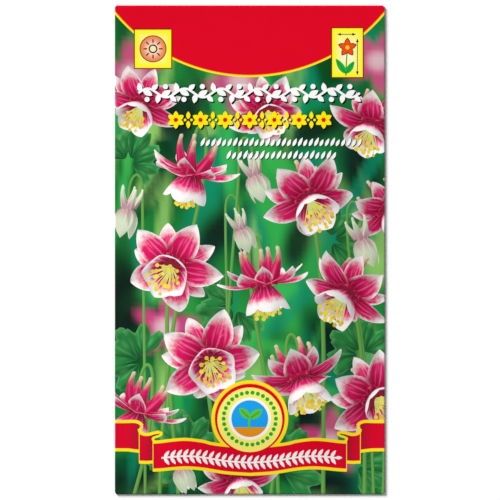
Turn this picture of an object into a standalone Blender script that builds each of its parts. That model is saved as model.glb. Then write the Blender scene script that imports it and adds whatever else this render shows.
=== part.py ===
"""A sealed paper seed packet, lying on its back with the printed front up.

One sheet of coated paper is folded into an envelope: the front, a glue flap
down its left side, the back, and a flap at each end that closes over the back.
Inside lies a small film sachet, folded at its foot and sealed round the other
edges, with the loose seeds settled at its foot.

Metres. X runs to the right of the front, Y to the top of the packet, and Z out
of the front. The origin is under the middle of the back, on the surface that
the packet lies on.
"""
import math
import random

import bmesh
import bpy
from mathutils import Matrix, Vector

# The packet, folded and glued
PACKET_WIDTH = 0.080
PACKET_HEIGHT = 0.145
PAPER = 0.00012
GLUE = 0.00005
SIDE_FLAP = 0.012
BOTTOM_FLAP = 0.013
TOP_FLAP = 0.016
FLAP_TAPER = 0.12
CORNER_RELIEF = 0.00015
BACK_SHORT_OF_FOLD = 0.001

# How the front swells over what is inside
FRONT_BULGE = 0.0023
SWELL_FROM_SIDE = 0.024
SWELL_FROM_FOOT = 0.025
SWELL_FROM_TOP = 0.090

# The sachet inside
SACHET_WIDTH = 0.048
SACHET_HEIGHT = 0.064
SACHET_FOOT = -0.058
FILM = 0.00008
FILM_GAP = 0.00005
SEAL = 0.004
TOP_SEAL = 0.006
FILM_RISE_FROM_SEAL = 0.006
FILM_RISE_FROM_FOOT = 0.0105
FILM_RISE_FROM_TOP = 0.024

# The seeds
SEED_COUNT = 32
SEED_LENGTH = 0.0023
SEED_WIDTH = 0.0014
SEED_DEPTH = 0.0011
SEED_SIZE_SPREAD = 0.05
SEED_SPACING = 0.00275
SEED_BED = (0.024, 0.018)
SEED_BED_CENTRE = (0.0, -0.0365)
SEED_DRAW = 11

CLEARANCE = 0.0003

# Segments of the meshes
FOLD_STEPS = 4
FRONT_COLUMNS = 20
FRONT_ROWS = 30
BACK_COLUMNS = 3
FILM_COLUMNS = 16
FILM_ROWS = 18
SEED_SIDES = 10
SEED_RINGS = 8

# Heights of the middle of each layer of paper: end flaps, back, side flap, front
LAYER = PAPER + GLUE
FRONT_EDGE_Z = PAPER / 2 + 3 * LAYER
SIDE_FLAP_FOLD = LAYER / 2
BACK_FOLD = LAYER
END_FLAP_FOLD = 1.5 * LAYER

# Lines on the flat sheet, measured from the middle of the front, where the folds start
FRONT_LEFT = -(PACKET_WIDTH / 2 - SIDE_FLAP_FOLD - PAPER / 2)
FRONT_RIGHT = PACKET_WIDTH / 2 - BACK_FOLD - PAPER / 2
FRONT_TOP = PACKET_HEIGHT / 2 - END_FLAP_FOLD - PAPER / 2
BACK_PANEL = FRONT_RIGHT + PACKET_WIDTH / 2 - BACK_SHORT_OF_FOLD

# Heights inside the packet
BACK_INNER_Z = LAYER + PAPER
FILM_BACK_Z = BACK_INNER_Z + CLEARANCE + FILM / 2
FILM_FOLD = (FILM + FILM_GAP) / 2
FILM_FRONT_Z = FILM_BACK_Z + 2 * FILM_FOLD
SEED_FLOOR_Z = FILM_BACK_Z + FILM / 2 + CLEARANCE
FILM_RISE = SEED_FLOOR_Z + SEED_DEPTH + CLEARANCE + FILM / 2 - FILM_FRONT_Z


def clear_scene():
    """Remove what the file opened with."""
    for thing in list(bpy.data.objects):
        bpy.data.objects.remove(thing, do_unlink=True)


def principled(name, colour, roughness, metallic=0.0):
    """Make a plain material."""
    material = bpy.data.materials.new(name)
    material.use_nodes = True
    shader = material.node_tree.nodes["Principled BSDF"]
    shader.inputs["Base Color"].default_value = (*colour, 1.0)
    shader.inputs["Roughness"].default_value = roughness
    shader.inputs["Metallic"].default_value = metallic
    return material


def spread(start, stop, steps):
    """Evenly spaced lines from start to stop, both included."""
    return [start + (stop - start) * step / steps for step in range(steps + 1)]


def joined(*runs):
    """Join runs of lines that share their end lines."""
    lines = list(runs[0])
    for run in runs[1:]:
        lines += run[1:]
    return lines


def swell(distance, reach):
    """Rise smoothly from 0 at an edge to 1 at reach from it."""
    share = min(max(distance / reach, 0.0), 1.0)
    return share * share * (3 - 2 * share)


def turned(distance, start, radius):
    """Lead a strip flat to start and back round a half turn: where it lies, and its drop."""
    past = distance - start
    if past <= 0:
        return distance, 0.0
    if past < math.pi * radius:
        angle = past / radius
        return start + radius * math.sin(angle), radius * (1 - math.cos(angle))
    return start - (past - math.pi * radius), 2 * radius


def turned_both_ways(distance, low, low_radius, high, high_radius):
    """Lead a strip that turns back at both of its ends."""
    if distance < 0:
        place, drop = turned(-distance, -low, low_radius)
        return -place, drop
    return turned(distance, high, high_radius)


def folded_sheet(name, across, along, kept, fold, thickness, material):
    """Cut a flat blank on the given lines, fold it, and give it its thickness."""
    columns = len(across) - 1
    rows = len(along) - 1
    blank = bmesh.new()
    bmesh.ops.create_grid(blank, x_segments=columns, y_segments=rows, size=0.5)
    for vertex in blank.verts:
        column = round((vertex.co.x + 0.5) * columns)
        row = round((vertex.co.y + 0.5) * rows)
        vertex.co = (across[column], along[row], 0)
    waste = [face for face in blank.faces if not kept(face.calc_center_median())]
    bmesh.ops.delete(blank, geom=waste, context="FACES")
    for vertex in blank.verts:
        vertex.co = fold(vertex.co.x, vertex.co.y)

    mesh = bpy.data.meshes.new(name)
    blank.to_mesh(mesh)
    blank.free()
    mesh.materials.append(material)
    mesh.shade_smooth()
    sheet = bpy.data.objects.new(name, mesh)
    wall = sheet.modifiers.new("thickness", "SOLIDIFY")
    wall.thickness = thickness
    wall.offset = 0
    return sheet


def front_height(x, y):
    """How far the front stands out over what is inside."""
    from_side = min(x - FRONT_LEFT, FRONT_RIGHT - x)
    return (FRONT_BULGE * swell(from_side, SWELL_FROM_SIDE)
            * swell(y + FRONT_TOP, SWELL_FROM_FOOT) * swell(FRONT_TOP - y, SWELL_FROM_TOP))


def fold_envelope(across, along):
    """Place a point of the flat sheet on the folded envelope."""
    x, side_drop = turned_both_ways(across, FRONT_LEFT, SIDE_FLAP_FOLD, FRONT_RIGHT, BACK_FOLD)
    y, end_drop = turned_both_ways(along, -FRONT_TOP, END_FLAP_FOLD, FRONT_TOP, END_FLAP_FOLD)
    on_side_flap = max(0.0, FRONT_LEFT - math.pi * SIDE_FLAP_FOLD - across) / SIDE_FLAP
    on_end_flap = max(0.0, abs(along) - FRONT_TOP - math.pi * END_FLAP_FOLD) / TOP_FLAP
    rise = front_height(x, y) if side_drop == 0 and end_drop == 0 else 0.0
    y *= 1 - FLAP_TAPER * on_side_flap
    x *= 1 - FLAP_TAPER * on_end_flap
    return Vector((x, y, FRONT_EDGE_Z - side_drop - end_drop + rise))


def on_envelope(middle):
    """Say whether the sheet has paper there: its corners are cut out."""
    beside_front = middle.x < FRONT_LEFT or middle.x > FRONT_RIGHT
    past_front = abs(middle.y) > FRONT_TOP
    beside_flap = middle.x < FRONT_LEFT + CORNER_RELIEF or middle.x > FRONT_RIGHT - CORNER_RELIEF
    short_of_end = abs(middle.y) > FRONT_TOP - CORNER_RELIEF
    return not (past_front and beside_flap) and not (beside_front and short_of_end)


def build_envelope(material):
    """Fold the printed sheet into the envelope."""
    side_fold_end = FRONT_LEFT - math.pi * SIDE_FLAP_FOLD
    back_fold_end = FRONT_RIGHT + math.pi * BACK_FOLD
    end_fold_end = FRONT_TOP + math.pi * END_FLAP_FOLD
    across = joined(
        [side_fold_end - SIDE_FLAP, side_fold_end],
        spread(side_fold_end, FRONT_LEFT, FOLD_STEPS),
        [FRONT_LEFT, FRONT_LEFT + CORNER_RELIEF],
        spread(FRONT_LEFT + CORNER_RELIEF, FRONT_RIGHT - CORNER_RELIEF, FRONT_COLUMNS),
        [FRONT_RIGHT - CORNER_RELIEF, FRONT_RIGHT],
        spread(FRONT_RIGHT, back_fold_end, FOLD_STEPS),
        spread(back_fold_end, back_fold_end + BACK_PANEL, BACK_COLUMNS),
    )
    along = joined(
        [-end_fold_end - BOTTOM_FLAP, -end_fold_end],
        spread(-end_fold_end, -FRONT_TOP, FOLD_STEPS),
        [-FRONT_TOP, -FRONT_TOP + CORNER_RELIEF],
        spread(-FRONT_TOP + CORNER_RELIEF, FRONT_TOP - CORNER_RELIEF, FRONT_ROWS),
        [FRONT_TOP - CORNER_RELIEF, FRONT_TOP],
        spread(FRONT_TOP, end_fold_end, FOLD_STEPS),
        [end_fold_end, end_fold_end + TOP_FLAP],
    )
    return folded_sheet("envelope", across, along, on_envelope, fold_envelope, PAPER, material)


def film_height(x, y):
    """How far the sachet's front film stands off its back over the seeds."""
    from_side = SACHET_WIDTH / 2 - SEAL - abs(x)
    from_top = SACHET_FOOT + SACHET_HEIGHT - TOP_SEAL - y
    return (FILM_RISE * swell(from_side, FILM_RISE_FROM_SEAL)
            * swell(y - SACHET_FOOT, FILM_RISE_FROM_FOOT) * swell(from_top, FILM_RISE_FROM_TOP))


def fold_sachet(across, along):
    """Place a point of the flat film on the folded sachet."""
    y, drop = turned(-along, -SACHET_FOOT, FILM_FOLD)
    y = -y
    rise = film_height(across, y) if drop == 0 else 0.0
    return Vector((across, y, FILM_FRONT_Z - drop + rise))


def build_sachet(material):
    """Fold the film over the seeds: the front lies over the back, joined at the foot."""
    fold_end = SACHET_FOOT - math.pi * FILM_FOLD
    across = spread(-SACHET_WIDTH / 2, SACHET_WIDTH / 2, FILM_COLUMNS)
    along = joined(
        spread(fold_end - SACHET_HEIGHT, fold_end, FILM_ROWS),
        spread(fold_end, SACHET_FOOT, FOLD_STEPS),
        spread(SACHET_FOOT, SACHET_FOOT + SACHET_HEIGHT, FILM_ROWS),
    )
    return folded_sheet("inner_sachet", across, along, lambda middle: True, fold_sachet,
                        FILM, material)


def seed_mesh(material):
    """Shape one seed: a smooth ovoid, blunt at one end, slightly bowed along its keel."""
    seed = bmesh.new()
    bmesh.ops.create_uvsphere(seed, u_segments=SEED_SIDES, v_segments=SEED_RINGS, radius=0.5,
                              matrix=Matrix.Rotation(math.pi / 2, 4, "Y"))
    for vertex in seed.verts:
        along = 2 * vertex.co.x
        girth = 1 - 0.18 * along
        vertex.co.y = vertex.co.y * girth - 0.10 * along * along
        vertex.co.z = vertex.co.z * girth
    mesh = bpy.data.meshes.new("seed")
    seed.to_mesh(mesh)
    seed.free()
    mesh.transform(Matrix.Diagonal((SEED_LENGTH, SEED_WIDTH, SEED_DEPTH, 1)))
    mesh.materials.append(material)
    mesh.shade_smooth()
    return mesh


def scattered(draw):
    """Drop points over the seed bed, each clear of the others."""
    points = []
    while len(points) < SEED_COUNT:
        place = Vector((SEED_BED_CENTRE[0] + SEED_BED[0] * (draw.random() - 0.5),
                        SEED_BED_CENTRE[1] + SEED_BED[1] * (draw.random() - 0.5)))
        if all((place - other).length > SEED_SPACING for other in points):
            points.append(place)
    return points


def build_seeds(material):
    """Lay the loose seeds on the sachet's back film."""
    draw = random.Random(SEED_DRAW)
    mesh = seed_mesh(material)
    lowest = min(vertex.co.z for vertex in mesh.vertices)
    seeds = []
    for number, place in enumerate(scattered(draw), start=1):
        seed = bpy.data.objects.new(f"seed_{number:02d}", mesh)
        size = 1 - SEED_SIZE_SPREAD * draw.random()
        seed.scale = (size, size, size)
        seed.rotation_euler = (0, 0, draw.uniform(0, 2 * math.pi))
        seed.location = (place.x, place.y, SEED_FLOOR_Z - lowest * size)
        seeds.append(seed)
    return seeds


def main():
    """Build the packet in a collection of its own."""
    clear_scene()
    packet = bpy.data.collections.new("seed_packet")
    bpy.context.scene.collection.children.link(packet)

    printed_paper = principled("printed_paper", (0.30, 0.16, 0.10), 0.35)
    sachet_film = principled("sachet_film", (0.86, 0.85, 0.80), 0.30)
    seed_coat = principled("seed_coat", (0.02, 0.016, 0.014), 0.22)

    pieces = [build_envelope(printed_paper), build_sachet(sachet_film)]
    pieces += build_seeds(seed_coat)
    for piece in pieces:
        packet.objects.link(piece)


main()
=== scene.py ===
"""Looks of the paper seed packet: its printed envelope, the film sachet and the seeds inside."""
import math
import random
from collections import defaultdict

import bmesh
import bpy
import numpy as np
from mathutils import Matrix, Vector
from mathutils.geometry import delaunay_2d_cdt


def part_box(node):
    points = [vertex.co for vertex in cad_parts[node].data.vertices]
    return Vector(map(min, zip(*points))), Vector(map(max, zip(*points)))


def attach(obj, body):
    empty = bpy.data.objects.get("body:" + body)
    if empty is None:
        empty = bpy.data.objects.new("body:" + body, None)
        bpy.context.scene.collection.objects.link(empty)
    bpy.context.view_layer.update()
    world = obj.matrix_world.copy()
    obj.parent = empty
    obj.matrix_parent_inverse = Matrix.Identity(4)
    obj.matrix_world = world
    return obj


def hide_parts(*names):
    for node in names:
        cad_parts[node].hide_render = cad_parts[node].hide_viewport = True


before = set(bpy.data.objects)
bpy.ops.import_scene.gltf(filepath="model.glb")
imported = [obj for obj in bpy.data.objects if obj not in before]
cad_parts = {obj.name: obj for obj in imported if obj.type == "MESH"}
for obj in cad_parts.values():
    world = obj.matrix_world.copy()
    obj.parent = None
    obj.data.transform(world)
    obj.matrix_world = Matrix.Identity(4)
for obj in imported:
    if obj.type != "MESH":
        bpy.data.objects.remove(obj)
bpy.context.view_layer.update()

# The folded sheet
# The envelope is one sheet of coated paper, printed flat and then folded: a glue flap inside the
# left edge, the front, the back, and a flap at each end that closes over the back. All sizes here
# are millimetres. A place on the flat sheet is given from the middle of the front.
MM = 0.001
low_corner, high_corner = (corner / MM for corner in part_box("envelope"))
WIDTH = high_corner.x - low_corner.x
HEIGHT = high_corner.y - low_corner.y
PAPER = 0.12
GLUE = 0.05
LAYER = PAPER + GLUE
SIDE_FLAP = 12.0
BOTTOM_FLAP = 13.0
TOP_FLAP = 16.0
FLAP_TAPER = 0.12
CORNER_RELIEF = 0.15
BACK_SHORT_OF_FOLD = 1.0
FRONT_EDGE_Z = PAPER / 2 + 3 * LAYER
SIDE_FLAP_FOLD = LAYER / 2
BACK_FOLD = LAYER
END_FLAP_FOLD = 1.5 * LAYER
FRONT_LEFT = -(WIDTH / 2 - SIDE_FLAP_FOLD - PAPER / 2)
FRONT_RIGHT = WIDTH / 2 - BACK_FOLD - PAPER / 2
FRONT_TOP = HEIGHT / 2 - END_FLAP_FOLD - PAPER / 2
SIDE_FOLD_END = FRONT_LEFT - math.pi * SIDE_FLAP_FOLD
BACK_FOLD_END = FRONT_RIGHT + math.pi * BACK_FOLD
END_FOLD_END = FRONT_TOP + math.pi * END_FLAP_FOLD
BACK_END = BACK_FOLD_END + FRONT_RIGHT + WIDTH / 2 - BACK_SHORT_OF_FOLD
FRONT_BULGE = high_corner.z - FRONT_EDGE_Z - PAPER / 2
SWELL_FROM_SIDE = 24.0
SWELL_FROM_FOOT = 25.0
SWELL_FROM_TOP = 90.0
SIDE_FLAP_COLUMNS = 3
FRONT_COLUMNS = 58
BACK_COLUMNS = 26
FRONT_ROWS = 104
END_FLAP_ROWS = 6
FOLD_STEPS = 6


def swell(distance, reach):
    """Rise smoothly from 0 at an edge to 1 at reach from it."""
    share = min(max(distance / reach, 0.0), 1.0)
    return share * share * (3 - 2 * share)


def turned(distance, start, radius, lift):
    """Lead a strip flat to start and back round a half turn: where it lies, and its rise."""
    past = distance - start
    if past <= 0:
        return distance, lift
    if past < math.pi * radius:
        angle = past / radius
        return start + (radius + lift) * math.sin(angle), (radius + lift) * math.cos(angle) - radius
    return start - (past - math.pi * radius), -2 * radius - lift


def turned_both_ways(distance, low, low_radius, high, high_radius, lift):
    """Lead a strip that turns back at both of its ends."""
    if distance < 0:
        place, rise = turned(-distance, -low, low_radius, lift)
        return -place, rise
    return turned(distance, high, high_radius, lift)


def front_height(x, y):
    """How far the front stands out over what is inside."""
    from_side = min(x - FRONT_LEFT, FRONT_RIGHT - x)
    return (FRONT_BULGE * swell(from_side, SWELL_FROM_SIDE)
            * swell(y + FRONT_TOP, SWELL_FROM_FOOT) * swell(FRONT_TOP - y, SWELL_FROM_TOP))


def folded(across, along, lift):
    """Place a point that lies lift above the middle of the flat sheet on the envelope."""
    x, side_rise = turned_both_ways(across, FRONT_LEFT, SIDE_FLAP_FOLD, FRONT_RIGHT, BACK_FOLD, lift)
    y, end_rise = turned_both_ways(along, -FRONT_TOP, END_FLAP_FOLD, FRONT_TOP, END_FLAP_FOLD, lift)
    on_side_flap = max(0.0, SIDE_FOLD_END - across) / SIDE_FLAP
    on_end_flap = max(0.0, abs(along) - END_FOLD_END) / TOP_FLAP
    rise = front_height(x, y) if side_rise == lift and end_rise == lift else 0.0
    y *= 1 - FLAP_TAPER * on_side_flap
    x *= 1 - FLAP_TAPER * on_end_flap
    return Vector((x, y, FRONT_EDGE_Z + side_rise + end_rise - lift + rise)) * MM


def spread(start, stop, steps):
    """Evenly spaced values from start to stop, both included."""
    return [start + (stop - start) * step / steps for step in range(steps + 1)]


def joined(*runs):
    """Join runs of lines that share their end lines."""
    lines = list(runs[0])
    for run in runs[1:]:
        lines += run[1:]
    return lines


sheet_columns = joined(
    spread(SIDE_FOLD_END - SIDE_FLAP, SIDE_FOLD_END, SIDE_FLAP_COLUMNS),
    spread(SIDE_FOLD_END, FRONT_LEFT, FOLD_STEPS),
    [FRONT_LEFT, FRONT_LEFT + CORNER_RELIEF],
    spread(FRONT_LEFT + CORNER_RELIEF, FRONT_RIGHT - CORNER_RELIEF, FRONT_COLUMNS),
    [FRONT_RIGHT - CORNER_RELIEF, FRONT_RIGHT],
    spread(FRONT_RIGHT, BACK_FOLD_END, FOLD_STEPS),
    spread(BACK_FOLD_END, BACK_END, BACK_COLUMNS),
)
sheet_rows = joined(
    spread(-END_FOLD_END - BOTTOM_FLAP, -END_FOLD_END, END_FLAP_ROWS),
    spread(-END_FOLD_END, -FRONT_TOP, FOLD_STEPS),
    [-FRONT_TOP, -FRONT_TOP + CORNER_RELIEF],
    spread(-FRONT_TOP + CORNER_RELIEF, FRONT_TOP - CORNER_RELIEF, FRONT_ROWS),
    [FRONT_TOP - CORNER_RELIEF, FRONT_TOP],
    spread(FRONT_TOP, END_FOLD_END, FOLD_STEPS),
    spread(END_FOLD_END, END_FOLD_END + TOP_FLAP, END_FLAP_ROWS),
)


def is_paper(x, y):
    """Whether the sheet has paper at places, given as arrays: its corners are cut out."""
    beside_front = (x < FRONT_LEFT) | (x > FRONT_RIGHT)
    beside_flap = (x < FRONT_LEFT + CORNER_RELIEF) | (x > FRONT_RIGHT - CORNER_RELIEF)
    past_front = abs(y) > FRONT_TOP
    short_of_end = abs(y) > FRONT_TOP - CORNER_RELIEF
    on_sheet = ((x > sheet_columns[0]) & (x < sheet_columns[-1])
                & (y > sheet_rows[0]) & (y < sheet_rows[-1]))
    return on_sheet & ~(past_front & beside_flap) & ~(beside_front & short_of_end)


plain_sheet = bmesh.new()
bmesh.ops.create_grid(plain_sheet, x_segments=len(sheet_columns) - 1,
                      y_segments=len(sheet_rows) - 1, size=0.5)
for vertex in plain_sheet.verts:
    column = round((vertex.co.x + 0.5) * (len(sheet_columns) - 1))
    row = round((vertex.co.y + 0.5) * (len(sheet_rows) - 1))
    vertex.co = (sheet_columns[column], sheet_rows[row], 0)
cell_middles = np.array([face.calc_center_median() for face in plain_sheet.faces])
is_kept = is_paper(cell_middles[:, 0], cell_middles[:, 1])
waste = [face for face, kept in zip(plain_sheet.faces[:], is_kept) if not kept]
bmesh.ops.delete(plain_sheet, geom=waste, context="FACES")

# The artwork
# The print is laid out flat, as a printer's artwork is: inked shapes on top of each other, of
# which the topmost shows. A flower is modelled in the round, turned and laid down as it looks
# from above. Each face takes one ink, and its corners carry what the ink varies by.
LIGHT = Vector((-0.42, 0.52, 0.74)).normalized()
AMBIENT = 0.42
LEAST_AREA = 0.0008
WHITE = (0.94, 0.94, 0.93)
BLACK = (0.004, 0.004, 0.005)


class Artwork:
    """Inked faces on the flat sheet, each at its own height in the pile."""

    def __init__(self):
        self.points = []
        self.values = []
        self.faces = []
        self.inks = []
        self.colours = []

    def lay(self, shape, ink="flat", colour=WHITE, fade=BLACK, place=None, height=0.0,
            graded=True, outside_only=False):
        """Take the faces of a shape, seen from above, and free it."""
        if place is not None:
            shape.transform(place)
        shape.normal_update()
        if outside_only:
            hidden = [face for face in shape.faces if face.normal.z <= 0]
            bmesh.ops.delete(shape, geom=hidden, context="FACES")
        if graded:
            bmesh.ops.triangulate(shape, faces=shape.faces[:])
        layers = shape.verts.layers.float
        across, along, light = (layers.get(name) for name in ("across", "along", "light"))
        first = len(self.points)
        for number, vertex in enumerate(shape.verts):
            vertex.index = number
            self.points.append((vertex.co.x, vertex.co.y))
            lit = vertex[light] if light else 1.0
            if ink != "flat":
                lit *= AMBIENT + (1 - AMBIENT) * abs(vertex.normal.dot(LIGHT))
            self.values.append((vertex.co.z + height, vertex[across] if across else 0.0,
                                vertex[along] if along else 0.0, lit))
        for face in shape.faces:
            corners = [vertex.co for vertex in face.verts]
            area = sum(a.x * b.y - b.x * a.y for a, b in zip(corners, corners[1:] + corners[:1]))
            if abs(area) / 2 < LEAST_AREA:
                continue
            numbers = [first + vertex.index for vertex in face.verts]
            self.faces.append(numbers if area > 0 else numbers[::-1])
            self.inks.append(ink)
            self.colours.append((*colour, *fade))
        shape.free()


art = Artwork()


def grid_shape(columns, rows):
    """A flat grid from -1 to 1 across and from 0 to 1 along, to be bent to a shape."""
    shape = bmesh.new()
    bmesh.ops.create_grid(shape, x_segments=columns, y_segments=rows, size=1)
    across, along, light = (shape.verts.layers.float.new(name)
                            for name in ("across", "along", "light"))
    for vertex in shape.verts:
        vertex[across] = vertex.co.x
        vertex[along] = (vertex.co.y + 1) / 2
        vertex[light] = 1.0
    return shape, across, along, light


def outline_shape(points):
    """One flat face with the given outline."""
    shape = bmesh.new()
    shape.faces.new([shape.verts.new((x, y, 0)) for x, y in points])
    return shape


def disc_outline(x, y, radius, sides=28, start=0.0):
    """The outline of a disc."""
    return [(x + radius * math.cos(start + 2 * math.pi * side / sides),
             y + radius * math.sin(start + 2 * math.pi * side / sides)) for side in range(sides)]


def blend(a, b, share):
    """Mix two values or vectors."""
    return a + (b - a) * share


# The picture's background
# Behind the flowers the picture is out of focus: emerald green with paler leaves, dark hollows,
# blades of grass and a few blurred blooms. Each patch is a soft ellipse: its place, half length,
# half width, angle, softness, colour and strength.
EMERALD = (0.002, 0.215, 0.040)
BRIGHT_GREEN = (0.045, 0.50, 0.085)
YELLOW_GREEN = (0.27, 0.56, 0.13)
TEAL = (0.002, 0.26, 0.13)
DEEP_GREEN = (0.001, 0.040, 0.018)
HOLLOW = (0.003, 0.008, 0.009)
BLURRED_PINK = (0.62, 0.05, 0.22)
BLURRED_PALE = (0.72, 0.62, 0.60)
LEAF_PATCHES = 110
LEAF_COLOURS = (BRIGHT_GREEN, YELLOW_GREEN, TEAL, DEEP_GREEN, EMERALD, DEEP_GREEN, TEAL)
GRASS_BLADES = 26
GRASS_COLOURS = (YELLOW_GREEN, BRIGHT_GREEN, TEAL)
HOLLOWS = (
    (-38, -18, 18, 6, 1.5), (33, 24, 13, 6, 1.9), (-9, 5, 13, 4.5, 0.9), (12, -50, 12, 5, 0.3),
    (-20, 40, 10, 5, 1.2), (24, -28, 11, 4.5, 2.2), (20, 36, 10, 4, 0.4), (-24, -22, 9, 4, 2.6),
    (14, 2, 9, 4, 1.3), (-8, -58, 12, 5, 1.7), (-37, -70, 9, 4, 0.2), (24, -70, 10, 4, 2.9))
BLURRED_BLOOMS = ((-35, 52, 0.4), (38, 56, 1.1), (-3, 50, 2.0), (24, -57, 0.3), (-25, -23, 1.4))
BLURRED_PETAL_REACH = 4.6

draw = random.Random(41)
patches = []
for _ in range(LEAF_PATCHES):
    patches.append((
        draw.uniform(-44, 44), draw.uniform(-76, 66), draw.uniform(5, 15), draw.uniform(1.6, 4.6),
        draw.gauss(1.15, 0.65), draw.uniform(0.35, 0.75), draw.choice(LEAF_COLOURS),
        draw.uniform(0.50, 0.95)))
for hollow in HOLLOWS:
    patches.append((*hollow, 0.6, HOLLOW, 0.92))
for _ in range(GRASS_BLADES):
    patches.append((
        draw.uniform(-42, 42), draw.uniform(-70, 50), draw.uniform(12, 28), draw.uniform(1.3, 2.2),
        draw.gauss(1.5, 0.22), 0.4, draw.choice(GRASS_COLOURS), draw.uniform(0.35, 0.7)))
for x, y, turn in BLURRED_BLOOMS:
    for petal in range(5):
        angle = turn + petal * 2 * math.pi / 5
        patches.append((x + BLURRED_PETAL_REACH * math.cos(angle),
                        y + BLURRED_PETAL_REACH * math.sin(angle),
                        5.2, 2.6, angle, 0.45, BLURRED_PINK, 0.85))
    patches.append((x, y, 3.2, 2.8, 0.0, 0.6, BLURRED_PALE, 0.7))


def ground_colours(places):
    """Colours of the blurred picture at an array of places: broad waves, then the patches."""
    x, y = places[:, 0], places[:, 1]
    waves = np.sin(x / 9 + np.sin(y / 13) * 1.4) * np.sin(y / 17 + 0.6 + np.sin(x / 21))
    colours = np.outer(0.5 + 0.5 * waves, BRIGHT_GREEN) + np.outer(0.5 - 0.5 * waves, EMERALD)
    colours = (0.62 * colours + 0.38 * np.array(EMERALD)) * (0.64 + 0.36 * waves[:, None])
    for patch_x, patch_y, long, wide, angle, soft, colour, strength in patches:
        along = (x - patch_x) * math.cos(angle) + (y - patch_y) * math.sin(angle)
        across = (y - patch_y) * math.cos(angle) - (x - patch_x) * math.sin(angle)
        reach = np.hypot(along / long, across / wide)
        share = np.clip((1 + soft - reach) / (2 * soft), 0, 1)
        share = (strength * share * share * (3 - 2 * share))[:, None]
        colours = colours * (1 - share) + np.array(colour) * share
    return colours


# Stems and leaves
# In focus, the picture has nodding flower stems and the plant's leaves: three lobed leaflets on
# one stalk, with pale veins that fan out from the leaflet's foot. They lie behind the blooms.
STEM_GREEN = (0.16, 0.42, 0.08)
STEM_SHADE = (0.02, 0.10, 0.02)
BELOW_PICTURE = -92
LEAFLETS = ((0.0, 1.0), (1.25, 0.86), (-1.25, 0.86))


def bezier(share, a, b, c, d):
    """A point on a cubic curve."""
    rest = 1 - share
    return a * rest ** 3 + b * 3 * rest * rest * share + c * 3 * rest * share ** 2 + d * share ** 3


def stem(points, girth, height):
    """Lay a round stem along a cubic curve on the sheet."""
    ends = [Vector((x, y)) for x, y in points]
    shape, across, along, light = grid_shape(4, 22)
    for vertex in shape.verts:
        share = vertex[along]
        middle = bezier(share, *ends)
        ahead = bezier(min(share + 0.01, 1), *ends) - bezier(max(share - 0.01, 0), *ends)
        side = Vector((ahead.y, -ahead.x)).normalized()
        edge = vertex[across]
        place = middle + side * edge * girth / 2
        round_off = math.sqrt(max(0.0, 1 - edge * edge))
        facing = side.x * edge * LIGHT.x + side.y * edge * LIGHT.y + round_off * LIGHT.z
        vertex[light] = 0.28 + 0.72 * max(0.0, facing)
        vertex.co = (place.x, place.y, 0.2 * round_off)
    art.lay(shape, colour=STEM_GREEN, fade=STEM_SHADE, height=height)


def stalk(foot, x, y, side, layer, reach=13.0, girth=1.15):
    """Lay a stalk that rises beside a nodding bloom and hooks over into its back."""
    beside = x + side * 4.2
    stem([(foot, BELOW_PICTURE), (foot, y - 30), (beside, y - 18), (beside, y + reach - 4)],
         girth, layer)
    stem([(beside, y + reach - 4.2), (beside, y + reach + 2.2), (x, y + reach + 2.2), (x, y + 1)],
         girth * 0.9, layer)


def leaflet(length, opening, lobes, ripple):
    """A fan-shaped leaflet, cut into round lobes, with its foot at the origin."""
    shape, across, along, light = grid_shape(22, 5)
    for vertex in shape.verts:
        fan = vertex[across]
        angle = fan * opening
        cut = abs(math.cos(fan * lobes * math.pi / 2))
        small = abs(math.sin(fan * lobes * 3 * math.pi / 2))
        reach = length * (0.54 + 0.38 * cut ** 0.6 + 0.07 * small ** 0.8) * (1 - 0.10 * fan * fan)
        reach *= 0.04 + 0.96 * vertex[along]
        rise = ripple * math.cos(fan * lobes * math.pi) * vertex[along]
        vertex.co = (reach * math.sin(angle), reach * math.cos(angle), rise)
        vertex[light] = 0.86 + 0.14 * vertex[along]
    return shape


def leaf(x, y, size, heading, height):
    """Lay a leaf of three leaflets, its stalk's end at the place."""
    for turn, reach in LEAFLETS:
        place = (Matrix.Translation((x, y, 0)) @ Matrix.Rotation(heading + turn, 4, "Z")
                 @ Matrix.Translation((0, 1.2, 0)))
        art.lay(leaflet(size * reach, 0.95, 3, 1.5), "leaf", place=place, height=height + reach)


for x, y, size, heading in (
        (-19, -60, 13, 0.7), (9, -66, 14, -0.5), (31, -64, 12, -0.9), (-32, -33, 12, 1.2),
        (24, 3, 11, -1.4), (-4, -17, 12, 2.2), (33, -31, 11, 0.4), (-36, 26, 10, -0.6)):
    leaf(x, y, size, heading, -90 + y / 10)
stalk(-27, -17, 24, 1, -40)
stalk(9, 4, -9, -1, -38)
stalk(-38, -33, -47, 1, -36)
stalk(5, 15, -38, -1, -34)
stalk(-8, 1, 24, -1, -50, 9.0, 0.9)
stalk(37, 33, 5, -1, -50, 9.0, 0.9)
stalk(-31, -36, 13, 1, -50, 9.0, 0.9)
stalk(-6, -3, 7, -1, -52, 9.0, 0.8)
stem([(-20, BELOW_PICTURE), (-22, -50), (-27, -26), (-23, -4)], 1.2, -44)
stem([(22, BELOW_PICTURE), (21, -50), (24, -16), (18, 14)], 1.3, -42)
stem([(34, BELOW_PICTURE), (34, -50), (35, -26), (29, -12)], 1.2, -40)
stem([(-4, BELOW_PICTURE), (-7, -62), (-14, -48), (-12, -32)], 1.3, -30)
stem([(38, BELOW_PICTURE), (40, -70), (41, -56), (38, -46)], 1.1, -30)

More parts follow.
